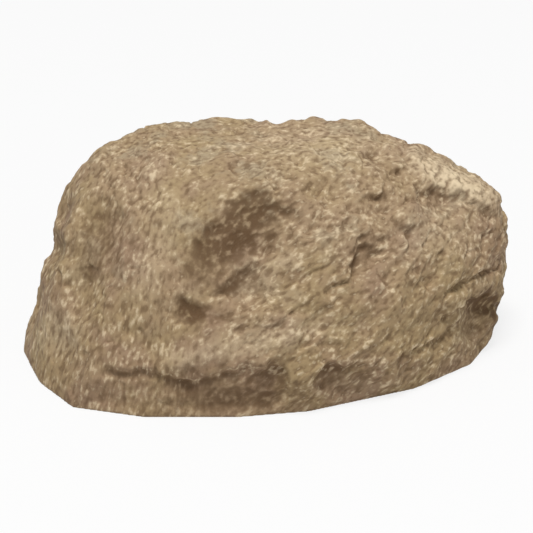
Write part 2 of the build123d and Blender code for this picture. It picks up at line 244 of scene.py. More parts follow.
# ---- the photograph's camera and the forms that it shows ----------------------------------------
@dataclass(frozen=True)
class Picture:
    """The photograph's camera: where it stands, and where on the picture it puts a point."""

    side: int = 533  # pixels, across and down
    sensor: float = 36.0  # millimetres, as the lens
    lens: float = 165.5
    distance: float = 520 * MM
    elevation: float = 25.0  # degrees
    target: Corner = (0.3 * MM, 0.0, 18.4 * MM)

    def axes(self) -> Rows:
        """The picture's right and up, and the way from the target to the camera."""
        rise = math.radians(self.elevation)
        sine, cosine = math.sin(rise), math.cos(rise)
        return np.array([[1.0, 0.0, 0.0], [0.0, sine, cosine], [0.0, -cosine, sine]])

    def pixels(self, points: Rows) -> tuple[Numbers, Numbers]:
        """Where points come on the picture.

        Args:
            points: In metres.

        Returns:
            Their pixels across from the left and down from the top.
        """
        right, up, back = self.axes()
        away = points - np.array(self.target)
        depth = self.distance - away @ back
        focal = self.lens / self.sensor * self.side
        middle = self.side / 2
        return middle + focal * (away @ right) / depth, middle - focal * (away @ up) / depth

    def facing(self, normals: Rows) -> Numbers:
        """How squarely each normal faces the camera, from -1 to 1."""
        return normals @ self.axes()[2]

    def shoot(self) -> None:
        """Puts the camera in the scene."""
        lens = bpy.data.cameras.new("camera")
        lens.lens = self.lens
        lens.sensor_width = self.sensor
        lens.clip_end = 10.0
        camera = show("camera", lens)
        camera.location = Vector(self.target) + Vector(self.axes()[2]) * self.distance
        camera.rotation_euler = (math.radians(90 - self.elevation), 0.0, 0.0)
        bpy.context.scene.camera = camera


def near_line(
    across: Numbers, down: Numbers, line: tuple[Pixel, ...], ends: float
) -> tuple[Numbers, Numbers]:
    """Where pixels lie beside a line of straight runs.

    Args:
        across: The pixels' places from the left.
        down: Their places from the top.
        line: The line's points.
        ends: The share of its length over which its form comes in, at each end.

    Returns:
        The distance to the line, above 0 on its left going along it, as seen on the picture, and how
        much of the form is there, from 0 at the ends to 1.
    """
    best = np.full(len(across), 1e9)
    side = np.ones(len(across))
    along = np.zeros(len(across))
    runs = list(zip(line[:-1], line[1:]))
    lengths = [math.dist(start, end) for start, end in runs]
    done = 0.0
    for (start, end), length in zip(runs, lengths):
        run_x = (end[0] - start[0]) / length
        run_y = (end[1] - start[1]) / length
        off_x = across - start[0]
        off_y = down - start[1]
        share = np.clip(off_x * run_x + off_y * run_y, 0.0, length)
        distance = np.hypot(off_x - share * run_x, off_y - share * run_y)
        nearer = distance < best
        best = np.where(nearer, distance, best)
        side = np.where(nearer, np.where(off_x * run_y >= off_y * run_x, 1.0, -1.0), side)
        along = np.where(nearer, (done + share) / sum(lengths), along)
        done += length
    return best * side, smoothstep(0.0, ends, along) * smoothstep(0.0, ends, 1 - along)


@dataclass(frozen=True)
class Dent:
    """A hollow, or with a depth below 0 a swelling, as the picture shows it."""

    at: Pixel
    reach: tuple[float, float]  # half its size in pixels, along and across
    depth: float  # millimetres, or a paint's strength
    turn: float = 0.0  # degrees, clockwise on the picture
    steep: float = 1.0  # over 1 for a flat floor with steep walls

    def relief(self, across: Numbers, down: Numbers) -> Numbers:
        """What it adds.

        Args:
            across: Pixels from the left.
            down: Pixels from the top.

        Returns:
            The height there, in the depth's unit.
        """
        turn = math.radians(self.turn)
        off_x = across - self.at[0]
        off_y = down - self.at[1]
        along = (off_x * math.cos(turn) + off_y * math.sin(turn)) / self.reach[0]
        aside = (off_y * math.cos(turn) - off_x * math.sin(turn)) / self.reach[1]
        return -self.depth * (1 - smoothstep(0.0, 1.0, np.hypot(along, aside) ** self.steep))


@dataclass(frozen=True)
class Ledge:
    """A broken edge: the stone stays whole on the line's left, going along it, and falls on its right."""

    line: tuple[Pixel, ...]
    drop: float  # millimetres
    reach: float  # how far out the fallen side goes on, in pixels
    edge: float  # how wide the step itself is
    lip: float = 0.12  # how far the edge stands up, as a share of the drop
    lip_reach: float = 10.0  # how far in that goes on, in pixels

    def relief(self, across: Numbers, down: Numbers) -> Numbers:
        """What it adds.

        Args:
            across: Pixels from the left.
            down: Pixels from the top.

        Returns:
            The height there, in millimetres.
        """
        distance, share = near_line(across, down, self.line, 0.12)
        fallen = smoothstep(-self.edge, self.edge, -distance)
        out = fallen * np.exp(-np.maximum(-distance, 0.0) / self.reach)
        back = (1 - fallen) * np.exp(-np.maximum(distance, 0.0) / self.lip_reach)
        return self.drop * share * (self.lip * back - out)


@dataclass(frozen=True)
class Crease:
    """A narrow valley along a line, or with a depth below 0 a crest."""

    line: tuple[Pixel, ...]
    depth: float  # millimetres
    width: float  # half of it, in pixels

    def relief(self, across: Numbers, down: Numbers) -> Numbers:
        """What it adds.

        Args:
            across: Pixels from the left.
            down: Pixels from the top.

        Returns:
            The height there, in millimetres.
        """
        distance, share = near_line(across, down, self.line, 0.15)
        return -self.depth * share * np.exp(-((distance / self.width) ** 2))


# The forms on the stone's front, by the places that they have on the picture. A Dent starts with its
# place and its reach, and the other two with their line.
FRONT_FORMS = {
    # the hollow in the middle, with its steep wall at the upper left
    "hollow_wall": Ledge(
        ((178, 290), (194, 256), (214, 230), (236, 215), (262, 206), (288, 214), (304, 228)),
        drop=2.5, reach=44, edge=21, lip=0.05,
    ),
    "hollow_shade": Dent((238, 228), (66, 32), depth=0.9, turn=-38),
    "hollow_corner": Dent((207, 238), (20, 11), depth=0.6, turn=-50),
    "hollow_end": Dent((284, 212), (20, 10), depth=0.8, turn=20),
    "hollow_spot": Dent((229, 289), (21, 10), depth=0.8, turn=-22),
    "hollow_bowl": Dent((246, 262), (98, 66), depth=0.6, turn=-40),
    "hollow_tail": Dent((187, 311), (30, 17), depth=1.9, turn=20),
    "hollow_foot": Dent((224, 318), (22, 11), depth=0.9),
    "hollow_crest": Crease(((200, 292), (240, 268), (272, 260), (310, 262)), depth=-1.1, width=13),
    "floor_crest": Crease(((252, 330), (262, 306), (270, 284)), depth=-0.5, width=8),
    "side_spot": Dent((313, 228), (15, 8), depth=0.6, turn=-25),
    # the hollow to its right, with a knob over it, and the lines that run down from it
    "knob": Ledge(((348, 212), (357, 230), (374, 238), (388, 234), (401, 220)), drop=1.3, reach=16, edge=5),
    "knob_spot": Dent((376, 199), (15, 8), depth=0.7, turn=-10),
    "knob_line": Ledge(((322, 292), (342, 274), (354, 256), (366, 240)), drop=1.0, reach=14, edge=4),
    "short_arc": Crease(((331, 283), (340, 285), (352, 281)), depth=0.6, width=2.5),
    "lit_knob": Dent((378, 268), (20, 13), depth=-0.8, turn=15),
    "top_spot": Dent((370, 155), (24, 12), depth=0.6, turn=-15),
    "top_pit": Dent((413, 179), (13, 7), depth=0.5, turn=-20),
    "pore_shade": Dent((322, 144), (6, 5), depth=0.6),
    "second_pore": Dent((290, 176), (6, 4), depth=0.6),
    # the upper right: a lit band with a line under it
    "band": Crease(((400, 150), (430, 168), (462, 184), (500, 204)), depth=-0.8, width=14),
    "lit_band": Ledge(
        ((408, 194), (430, 190), (455, 194), (480, 206), (504, 223)), drop=1.3, reach=18, edge=4
    ),
    # the lower right: two cracks and a deep notch before the chunk at the end
    "upper_crack": Crease(((440, 296), (452, 289), (472, 277), (500, 269)), depth=1.1, width=3),
    "lower_crack": Ledge(((436, 322), (452, 312), (475, 302), (500, 295)), drop=1.4, reach=14, edge=3),
    "between_cracks": Crease(((436, 308), (460, 298), (498, 282)), depth=-0.4, width=7),
    "notch": Dent((480, 311), (24, 12), depth=1.9, turn=-15),
    "heel_shade": Dent((474, 332), (26, 20), depth=0.5),
    "chunk": Dent((504, 321), (14, 13), depth=-1.3),
    "heel_line": Ledge(
        ((392, 362), (412, 356), (432, 343), (455, 326), (480, 315)), drop=1.5, reach=20, edge=4
    ),
    # the ledge along the bottom, and the scallops under it
    "bottom_ledge": Ledge(
        ((96, 362), (118, 371), (145, 371), (173, 378), (197, 381), (222, 377), (240, 366), (256, 360)),
        drop=1.8, reach=40, edge=5,
    ),
    "left_scallop": Dent((212, 392), (60, 22), depth=0.9, turn=-4),
    "undercut": Dent((230, 402), (150, 34), depth=0.8),
    "middle_scallop": Dent((267, 387), (26, 27), depth=1.9, steep=3),
    "right_scallop": Dent((344, 382), (32, 18), depth=1.4, turn=-4, steep=3),
    "right_ledge": Ledge(((318, 364), (345, 365), (372, 363), (396, 359)), drop=0.8, reach=30, edge=4),
    "lit_ledge": Crease(((150, 362), (190, 358), (225, 349), (258, 346), (310, 340)), depth=-0.7, width=13),
    # the left side: the valley from the waist, its dimple, and the crest beside the hollow
    "waist": Dent((48, 247), (30, 18), depth=1.1, turn=30),
    "dimple": Dent((88, 265), (11, 6), depth=0.6, turn=32),
    "valley": Dent((100, 240), (70, 38), depth=1.3, turn=-80),
    "valley_foot": Crease(((52, 247), (88, 265), (84, 300), (76, 328)), depth=0.5, width=11),
    "left_crest": Crease(((138, 150), (160, 185), (171, 230), (152, 262), (140, 318)), depth=-0.7, width=17),
    "grey_edge": Ledge(((124, 165), (134, 176), (155, 178), (172, 168)), drop=0.6, reach=9, edge=3),
}

# Where brown is painted as shade, partly as wash that has pooled, and where cream is painted as highlight,
# partly where the cream brush went over more than once, with the paint's strength as the depth.
POOLED_WASH_AND_SHADE = {
    "hollow": Dent((229, 228), (92, 42), depth=1.4, turn=-42),
    "hollow_floor": Dent((228, 268), (60, 36), depth=0.8, turn=-20),
    "hollow_end": Dent((284, 209), (24, 12), depth=0.5),
    "hollow_tail": Dent((190, 313), (36, 21), depth=2.0, turn=20),
    "hollow_spot": Dent((229, 289), (26, 12), depth=0.9, turn=-22),
    "hollow_foot": Dent((222, 320), (22, 12), depth=0.9),
    "knob": Dent((375, 233), (28, 14), depth=0.8, turn=-10),
    "knob_spot": Dent((375, 200), (20, 9), depth=0.4),
    "knob_line": Dent((352, 262), (24, 8), depth=0.5, turn=-60),
    "middle": Dent((330, 296), (34, 20), depth=0.35),
    "top_spot": Dent((370, 156), (26, 12), depth=0.5, turn=-15),
    "side_spot": Dent((313, 228), (16, 9), depth=0.5, turn=-25),
    "heel": Dent((490, 310), (32, 36), depth=1.8),
    "valley": Dent((100, 246), (46, 66), depth=0.9),
    "dimple": Dent((88, 265), (14, 9), depth=0.5, turn=32),
    "undercut": Dent((230, 400), (180, 28), depth=0.8),
}
BRUSH_AND_HIGHLIGHT = {
    "band": Dent((456, 184), (74, 24), depth=2.6, turn=28),
    "low_middle": Dent((278, 334), (110, 28), depth=0.9, turn=-8),
    "left_foot": Dent((56, 332), (38, 36), depth=1.2),
    "top": Dent((320, 146), (130, 34), depth=0.7),
    "right": Dent((436, 232), (64, 46), depth=0.6),
    "hollow_crest": Dent((272, 268), (32, 13), depth=0.7, turn=-15),
    "left_ledge": Dent((190, 355), (64, 15), depth=0.5),
    "right_foot": Dent((352, 384), (40, 18), depth=0.5),
}


# ---- shader kit ---------------------------------------------------------------------------------
class Value:
    """A socket's number in an expression, where each operator adds a Math node."""

    def __init__(self, nodes: "Nodes", socket: bpy.types.NodeSocket) -> None:
        """Wraps a socket.

        Args:
            nodes: The node tree that holds it.
            socket: The output to read.
        """
        self.nodes = nodes
        self.socket = socket

    def _math(self, operation: str, first: Any, second: Any) -> "Value":
        """A Math node on two numbers or values."""
        return self.nodes.value("ShaderNodeMath", {"operation": operation}, {0: first, 1: second})

    def __add__(self, other: Any) -> "Value":
        """This plus other."""
        return self._math("ADD", self, other)

    def __sub__(self, other: Any) -> "Value":
        """This less other."""
        return self._math("SUBTRACT", self, other)

    def __rsub__(self, other: Any) -> "Value":
        """Other less this."""
        return self._math("SUBTRACT", other, self)

    def __mul__(self, other: Any) -> "Value":
        """This times other."""
        return self._math("MULTIPLY", self, other)

    __radd__ = __add__
    __rmul__ = __mul__

    def ramp(self, low: float, high: float, start: float = 0.0, end: float = 1.0) -> "Value":
        """This, put smoothly on a ramp.

        Args:
            low: The number that becomes start.
            high: The number that becomes end.
            start: What low becomes.
            end: What high becomes.

        Returns:
            The number on the ramp.
        """
        inputs = {0: self, 1: low, 2: high, 3: start, 4: end}
        return self.nodes.value("ShaderNodeMapRange", {"interpolation_type": "SMOOTHSTEP"}, inputs)


class Nodes:
    """A node tree under construction, with one method that adds any node."""

    def __init__(self, owner: Any) -> None:
        """Starts an empty tree.

        Args:
            owner: The material or the world that it belongs to.
        """
        owner.use_nodes = True
        self.tree = owner.node_tree
        self.tree.nodes.clear()

    def add(self, kind: str, settings: dict | None = None, inputs: dict | None = None) -> bpy.types.Node:
        """Adds a node.

        Args:
            kind: The node's type.
            settings: Its properties.
            inputs: A number, a colour, a socket or a Value for each of its sockets, by name or number.

        Returns:
            The node.
        """
        node = self.tree.nodes.new(kind)
        for name, setting in (settings or {}).items():
            setattr(node, name, setting)
        for name, given in (inputs or {}).items():
            given = given.socket if isinstance(given, Value) else given
            if isinstance(given, bpy.types.NodeSocket):
                self.tree.links.new(given, node.inputs[name])
            else:
                node.inputs[name].default_value = given
        return node

    def value(self, kind: str, settings: dict | None, inputs: dict | None, output: Any = 0) -> Value:
        """A new node's output, by name or number, as a value."""
        return Value(self, self.add(kind, settings, inputs).outputs[output])

    def seen(self) -> Value:
        """1 for what the camera sees straight, in a gloss or through glass, and 0 for light on the rock."""
        rays = self.add("ShaderNodeLightPath").outputs
        straight, glossy, through = (rays[f"Is {kind} Ray"] for kind in ("Camera", "Glossy", "Transmission"))
        return Value(self, straight) + glossy + through


class Finish(Nodes):
    """A material under construction."""

    def __init__(self, name: str) -> None:
        """Starts an empty material.

        Args:
            name: The material's name.
        """
        self.material = bpy.data.materials.new(name)
        super().__init__(self.material)
        self.place = self.add("ShaderNodeTexCoord").outputs["Object"]

    def stretched(self, lengths: Corner, turn: Corner) -> bpy.types.NodeSocket:
        """The place on the piece for grain that runs one way.

        Args:
            lengths: How long the pattern is along each of its own axes.
            turn: Degrees that those axes are turned about each of the piece's.

        Returns:
            A socket with the place.
        """
        angles = tuple(math.radians(angle) for angle in turn)
        inputs = {"Vector": self.place, "Rotation": angles, "Scale": lengths}
        return self.add("ShaderNodeMapping", {"vector_type": "TEXTURE"}, inputs).outputs[0]

    def noise(self, size: float, detail: float, roughness: float, place: Any = None) -> Value:
        """Soft noise.

        Args:
            size: About how far apart its swells are.
            detail: How many finer sizes it has.
            roughness: How strong those are.
            place: The socket with the place, or None for the place on the piece.

        Returns:
            A number around 0.5.
        """
        inputs = {"Vector": place or self.place, "Scale": 1 / size, "Detail": detail, "Roughness": roughness}
        return self.value("ShaderNodeTexNoise", None, inputs)

    def crumbs(self, size: float) -> Value:
        """The distance to seeds about size apart: 0 at a seed and about 0.5 between them."""
        inputs = {"Vector": self.place, "Scale": 1 / size}
        return self.value("ShaderNodeTexVoronoi", None, inputs, "Distance")

    def read(self, attribute: str) -> Value:
        """A number that is stored on the mesh."""
        return self.value("ShaderNodeAttribute", {"attribute_name": attribute}, None, "Fac")

    def mix(self, share: Any, first: Any, second: Any) -> bpy.types.NodeSocket:
        """Mixes two colours.

        Args:
            share: How much of the second, from 0 to 1.
            first: A colour or a socket.
            second: A colour or a socket.

        Returns:
            The socket with the colour.
        """
        first_color, second_color, mixed = 6, 7, 2
        inputs = {0: share, first_color: first, second_color: second}
        return self.add("ShaderNodeMix", {"data_type": "RGBA"}, inputs).outputs[mixed]

    def bump(self, height: Value, distance: float, strength: float, under: Any = None) -> Any:
        """A normal from a height.

        Args:
            height: From 0 to 1.
            distance: How high 1 is.
            strength: How strongly it shows.
            under: The socket of a bump under this one, or None.

        Returns:
            The socket with the normal.
        """
        inputs = {"Strength": strength, "Distance": distance, "Height": height}
        if under is not None:
            inputs["Normal"] = under
        return self.add("ShaderNodeBump", None, inputs).outputs[0]

    def close(self, **sockets: Any) -> bpy.types.Material:
        """Adds the surface and ends the material.

        Args:
            **sockets: The surface's inputs, with _ for a space in their names.

        Returns:
            The material.
        """
        inputs = {name.replace("_", " "): given for name, given in sockets.items()}
        surface = self.add("ShaderNodeBsdfPrincipled", None, inputs)
        self.add("ShaderNodeOutputMaterial", None, {"Surface": surface.outputs[0]})
        return self.material


# ---- finishes -----------------------------------------------------------------------------------
@dataclass(frozen=True)
class CastStone:
    """Cast resin painted as stone: a tan coat, a brown wash in its hollows that is partly painted shade,
    cream on its crumbs, and painted highlights and painted sky grey on its raised and upward-facing parts.
    """

    tan: Color = paint(157, 132, 103)
    ochre: Color = paint(160, 137, 101)
    umber: Color = paint(149, 123, 98)
    # grey, painted as sky light on the upward-facing parts
    grey: Color = paint(160, 144, 118)
    # the brown of the wash, which also stands in for painted shade
    wash_and_shade: Color = paint(88, 64, 40)
    gap: Color = paint(102, 78, 53)
    cream: Color = paint(226, 206, 172)
    patch_size: float = 22 * MM
    mottle_size: float = 3.2 * MM
    grain_size: float = 1.6 * MM
    fine_size: float = 0.4 * MM
    fleck_width: float = 0.5 * MM
    slanted: Lay = ((1.0, 1.2, 2.7), (0, 13, 0))  # how the flecks on the left lie
    leafy: Lay = ((1.0, 1.2, 1.9), (0, 52, 0))  # and on the right
    even: Corner = (1, 1, 1)  # a pattern as long one way as another
    wash_and_shade_cover: float = 0.92  # how much of the coat each paint hides where it lies thickest
    gap_cover: float = 0.66
    cream_cover: float = 0.58
    sparse_cover: float = 0.34
    roughness: float = 0.82

    def flecks(self, stone: Finish, share: Value, width: float) -> Value:
        """Short strokes that lie one way on the left of the stone and another on its right.

        Args:
            stone: The finish.
            share: How much the right's way counts.
            width: Of a stroke.

        Returns:
            A number around 0.5, high on the strokes.
        """
        left = stone.noise(width, 1, 0.4, stone.stretched(*self.slanted))
        right = stone.noise(width, 1, 0.4, stone.stretched(*self.leafy))
        return left * (1 - share) + right * share

    def make(self) -> bpy.types.Material:
        """The material, which reads what the sculpted stone stores on its mesh."""
        stone = Finish("cast_stone")
        stored = ("crest", "hollow", "pressed", "raised", "underside_shade", "pooled_wash_and_shade", "brush_and_highlight", "top")
        crest, hollow, pressed, raised, underside_shade, pooled_wash_and_shade, brush_and_highlight, top = map(stone.read, stored)

        # the coat, in drifts of four paints
        patches = stone.noise(self.patch_size, 4, 0.6)
        drift = stone.noise(self.patch_size * 0.7, 4, 0.6, stone.stretched(self.even, (40, 20, 70)))
        sky_grey_patches = stone.noise(self.patch_size * 0.45, 5, 0.65, stone.stretched(self.even, (0, 80, 10)))
        coat = stone.mix(patches.ramp(0.36, 0.62), self.tan, self.ochre)
        coat = stone.mix(drift.ramp(0.46, 0.70), coat, self.umber)
        # grey in patches on the upward-facing parts: painted sky light on the top
        coat = stone.mix(sky_grey_patches.ramp(0.50, 0.64) * top * 0.7, coat, self.grey)
        # cream on the raised forms, at the given bright places and a little on the top: painted highlight,
        # partly dry-brushed
        coat = stone.mix(raised * 0.16 + brush_and_highlight * 0.22 + top * 0.06, coat, self.cream)

        # the crumbs and flecks that are too small for the mesh
        across = stone.value("ShaderNodeSeparateXYZ", None, {"Vector": stone.place})
        leafy_share = (across + (patches - 0.5) * 40 * MM).ramp(-22 * MM, -4 * MM)
        broad = self.flecks(stone, leafy_share, self.fleck_width * 1.8)
        narrow = self.flecks(stone, leafy_share, self.fleck_width)
        grain = stone.noise(self.grain_size, 4, 0.65)
        height = broad * 0.60 + narrow * 0.08 + grain * 0.32
        on_crumbs = ((height - 0.5) * 4.5 + crest * 0.5).ramp(0.10, 0.95)

        # the brown wash, partly painted shade: in the hollows, where the stone faces down or turns under,
        # and at the front's pressed and darkened places
        mottle = stone.noise(self.mottle_size, 4, 0.6)
        wash_and_shade = underside_shade * 0.45 + pressed * 0.40 + pooled_wash_and_shade * 0.55 + hollow * 0.40 + (0.5 - mottle)
        wash_and_shade = wash_and_shade.ramp(0.02, 1.25, 0.0, self.wash_and_shade_cover) * (1 - on_crumbs * 0.66)
        coat = stone.mix(wash_and_shade, coat, self.wash_and_shade)

        # brown in the gaps between the crumbs
        low = (1 - crest) * 0.36 + (0.5 - height) * 3.8 + 0.16
        coat = stone.mix(low.ramp(0.20, 1.0, 0.0, self.gap_cover), coat, self.gap)

        # cream on the crumbs, and in a few flecks of its own, but for where the wash and painted shade lie,
        # with a little more painted highlight at the given bright places
        bare = (pooled_wash_and_shade * 0.70 + pressed * 0.55).ramp(0.0, 1.0, 1.0, 0.12)
        high = crest * 0.30 + (height - 0.5) * 4.4 + (mottle - 0.5) * 1.8 + brush_and_highlight * 0.12
        coat = stone.mix(high.ramp(0.34, 1.08, 0.0, self.cream_cover) * bare, coat, self.cream)
        sparse = self.flecks(stone, leafy_share, self.fleck_width * 1.5) + (mottle - 0.5) * 0.20
        coat = stone.mix(sparse.ramp(0.60, 0.74, 0.0, self.sparse_cover) * bare, coat, self.cream)

        fine = stone.noise(self.fine_size, 3, 0.6)
        rough = fine.ramp(0.3, 0.7, self.roughness - 0.08, self.roughness + 0.1)
        relief = stone.bump(height, 0.34 * MM, 0.8, stone.bump(fine, 0.05 * MM, 0.7))
        return stone.close(Base_Color=coat, Roughness=rough, Normal=relief, Specular_IOR_Level=0.3)


@dataclass(frozen=True)
class BareCast:
    """The unpainted inside of the casting: pale grey-brown filled resin, a little pitted."""

    color: Color = paint(150, 138, 120)
    dark: Color = paint(118, 106, 90)

    def make(self) -> bpy.types.Material:
        """The material."""
        cast = Finish("bare_cast")
        color = cast.mix(cast.noise(6 * MM, 5, 0.6).ramp(0.35, 0.65), self.color, self.dark)
        pits = cast.bump(cast.crumbs(1.3 * MM).ramp(0.0, 0.35), 0.10 * MM, 0.6)
        return cast.close(Base_Color=color, Roughness=0.78, Normal=pits, Specular_IOR_Level=0.35)


@dataclass(frozen=True)
class Moulded:
    """A moulded plastic with a fine spark-eroded texture, a little paler where it flowed in."""

    name: str
    color: Color
    texture: float
    roughness: float
    paler: float = 1.35

    def make(self) -> bpy.types.Material:
        """The material."""
        plastic = Finish(self.name)
        flow = plastic.noise(14 * MM, 3, 0.5)
        pale = tuple(min(1.0, channel * self.paler) for channel in self.color[:3]) + (1.0,)
        color = plastic.mix(flow.ramp(0.35, 0.7), self.color, pale)
        rough = flow.ramp(0.3, 0.7, self.roughness - 0.07, self.roughness + 0.07)
        normal = plastic.bump(plastic.noise(self.texture, 3, 0.5), 0.02 * MM, 0.7)
        return plastic.close(Base_Color=color, Roughness=rough, Normal=normal)


@dataclass(frozen=True)
class Rubber:
    """Black seal rubber, with a trace of the talc that it was packed in."""

    color: Color = paint(34, 34, 35)
    talc: Color = paint(74, 74, 75)

    def make(self) -> bpy.types.Material:
        """The material."""
        rubber = Finish("black_rubber")
        dust = rubber.noise(3 * MM, 5, 0.65)
        color = rubber.mix(dust.ramp(0.52, 0.75) * 0.5, self.color, self.talc)
        normal = rubber.bump(rubber.noise(0.3 * MM, 2, 0.5), 0.015 * MM, 0.5)
        return rubber.close(Base_Color=color, Roughness=0.72, Normal=normal)


@dataclass(frozen=True)
class Metal:
    """A small turned metal part, with the fine rings that the tool left."""

    name: str
    color: Color
    tarnish: Color
    roughness: float
    rings: Lay = ((3.0, 3.0, 0.2), (0, 0, 0))

    def make(self) -> bpy.types.Material:
        """The material."""
        metal = Finish(self.name)
        stain = metal.noise(1.6 * MM, 4, 0.6)
        color = metal.mix(stain.ramp(0.45, 0.75), self.color, self.tarnish)
        rough = stain.ramp(0.3, 0.7, self.roughness, self.roughness + 0.15)
        normal = metal.bump(metal.noise(0.4 * MM, 2, 0.5, metal.stretched(*self.rings)), 0.01 * MM, 0.6)
        return metal.close(Base_Color=color, Metallic=1.0, Roughness=rough, Normal=normal)


@dataclass(frozen=True)
class Foam:
    """Open-cell foam, dark grey, with painted shade in its pores."""

    color: Color = paint(66, 66, 70)
    pore_shade: Color = paint(20, 20, 22)

    def make(self) -> bpy.types.Material:
        """The material."""
        foam = Finish("open_foam")
        cells = foam.crumbs(0.55 * MM)
        # darker at the cells' seeds, where the bump dents them: painted shade in the pores
        color = foam.mix(cells.ramp(0.1, 0.45), self.pore_shade, self.color)
        normal = foam.bump(cells.ramp(0.0, 0.5), 0.2 * MM, 0.9)
        return foam.close(Base_Color=color, Roughness=0.95, Normal=normal, Specular_IOR_Level=0.1)


# ---- mesh kit -----------------------------------------------------------------------------------
def show(name: str, data: Any) -> bpy.types.Object:
    """Puts something in the scene.

    Args:
        name: The new object's name.
        data: Its mesh, light or camera, or a bmesh, which is used up.

    Returns:
        The object.
    """
    if isinstance(data, bmesh.types.BMesh):
        shape, data = data, bpy.data.meshes.new(name)
        shape.to_mesh(data)
        shape.free()
    shown = bpy.data.objects.new(name, data)
    bpy.context.scene.collection.objects.link(shown)
    return shown


def drop(*pieces: bpy.types.Object) -> None:
    """Takes working pieces out of the scene, with their meshes.

    Args:
        *pieces: The pieces.
    """
    for piece in pieces:
        mesh = piece.data
        bpy.data.objects.remove(piece)
        bpy.data.meshes.remove(mesh)


def closed_copy(node: str) -> bpy.types.Object:
    """A copy of a CAD node with its faces sewn together, for cutting.

    Args:
        node: The node's name.

    Returns:
        The copy.
    """
    shape = bmesh.new()
    shape.from_mesh(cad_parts[node].data)
    bmesh.ops.remove_doubles(shape, verts=shape.verts, dist=1e-7)
    bmesh.ops.recalc_face_normals(shape, faces=shape.faces)
    return show(f"{node}_copy", shape)


def block(name: str, low: Corner, high: Corner) -> bpy.types.Object:
    """A plain box, for cutting.

    Args:
        name: Its name.
        low: Its lowest corner.
        high: Its highest corner.

    Returns:
        The box.
    """
    shape = bmesh.new()
    bmesh.ops.create_cube(shape, size=1.0)
    for corner in shape.verts:
        corner.co = Vector([high[i] if corner.co[i] > 0 else low[i] for i in range(3)])
    return show(name, shape)


class Cut(Enum):
    """What a cutter does to a piece."""

    AWAY = "DIFFERENCE"
    KEEP = "INTERSECT"


def changed(piece: bpy.types.Object, kind: str, **settings: Any) -> None:
    """Puts a modifier on a piece and applies it.

    Args:
        piece: The piece. Its mesh is replaced.
        kind: The modifier's type.
        **settings: The modifier's properties.
    """
    step = piece.modifiers.new(kind.lower(), kind)
    for name, setting in settings.items():
        setattr(step, name, setting)
    shown = piece.evaluated_get(bpy.context.evaluated_depsgraph_get())
    mesh = bpy.data.meshes.new_from_object(shown)
    old = piece.data
    piece.modifiers.clear()
    piece.data = mesh
    bpy.data.meshes.remove(old)


def cut(piece: bpy.types.Object, cutter: bpy.types.Object, how: Cut) -> None:
    """Cuts a closed piece with a closed cutter, and leaves the cutter as it is."""
    changed(piece, "BOOLEAN", object=cutter, operation=how.value, solver="MANIFOLD")


def voxel(piece: bpy.types.Object, size: float) -> None:
    """Rebuilds a closed piece from even quads of that size."""
    changed(piece, "REMESH", mode="VOXEL", voxel_size=size)


def largest_island(piece: bpy.types.Object) -> None:
    """Deletes all but the largest connected part of a mesh.

    Args:
        piece: The piece whose mesh it is.
    """
    shape = bmesh.new()
    shape.from_mesh(piece.data)
    left = set(shape.verts)
    largest: set = set()
    while left:
        island = {left.pop()}
        rim = list(island)
        while rim:
            vertex = rim.pop()
            beside = {edge.other_vert(vertex) for edge in vertex.link_edges} - island
            island |= beside
            rim.extend(beside)
        left -= island
        largest = max(largest, island, key=len)
    spare = [vertex for vertex in shape.verts if vertex not in largest]
    bmesh.ops.delete(shape, geom=spare, context="VERTS")
    shape.to_mesh(piece.data)
    shape.free()


class Skin:
    """A mesh's points as arrays, with its neighbours, for sculpting all of them at once."""

    def __init__(self, mesh: bpy.types.Mesh) -> None:
        """Reads a mesh.

        Args:
            mesh: The mesh to sculpt.
        """
        self.mesh = mesh
        self.count = len(mesh.vertices)
        self.points = self._read(mesh.vertices, "co")
        edges = np.zeros(len(mesh.edges) * 2, np.int32)
        mesh.edges.foreach_get("vertices", edges)
        pairs = edges.reshape(-1, 2)
        self.start = np.concatenate([pairs[:, 0], pairs[:, 1]])
        self.end = np.concatenate([pairs[:, 1], pairs[:, 0]])
        self.degree = np.bincount(self.start, minlength=self.count).clip(1)

    @staticmethod
    def _read(items: Any, name: str) -> Rows:
        """Reads one property of all items.

        Args:
            items: The mesh's points or normals.
            name: The property.

        Returns:
            A row for each.
        """
        numbers = np.zeros(len(items) * 3, np.float32)
        items.foreach_get(name, numbers)
        return numbers.reshape(-1, 3).astype(float)

    def normals(self) -> Rows:
        """The normals of the points where they are now."""
        self.write()
        return self._read(self.mesh.vertex_normals, "vector")

    def write(self) -> None:
        """Puts the points back in the mesh."""
        self.mesh.vertices.foreach_set("co", self.points.astype(np.float32).ravel())
        self.mesh.update()

    def eased(self, numbers: np.ndarray, times: int) -> np.ndarray:
        """Draws numbers or rows towards their neighbours' mean.

        Args:
            numbers: One, or a row, for each point.
            times: How many times.

        Returns:
            The same, eased.
        """
        pull = 0.6
        eased = numbers.reshape(self.count, -1).copy()
        for _ in range(times):
            for column in range(eased.shape[1]):
                around = np.bincount(self.start, eased[self.end, column], self.count) / self.degree
                eased[:, column] = (1 - pull) * eased[:, column] + pull * around
        return eased.reshape(numbers.shape)

    def keep(self, name: str, numbers: Numbers) -> None:
        """Stores a number for each point on the mesh, for the finish to read."""
        stored = self.mesh.attributes.new(name, "FLOAT", "POINT")
        stored.data.foreach_set("value", numbers.astype(np.float32))


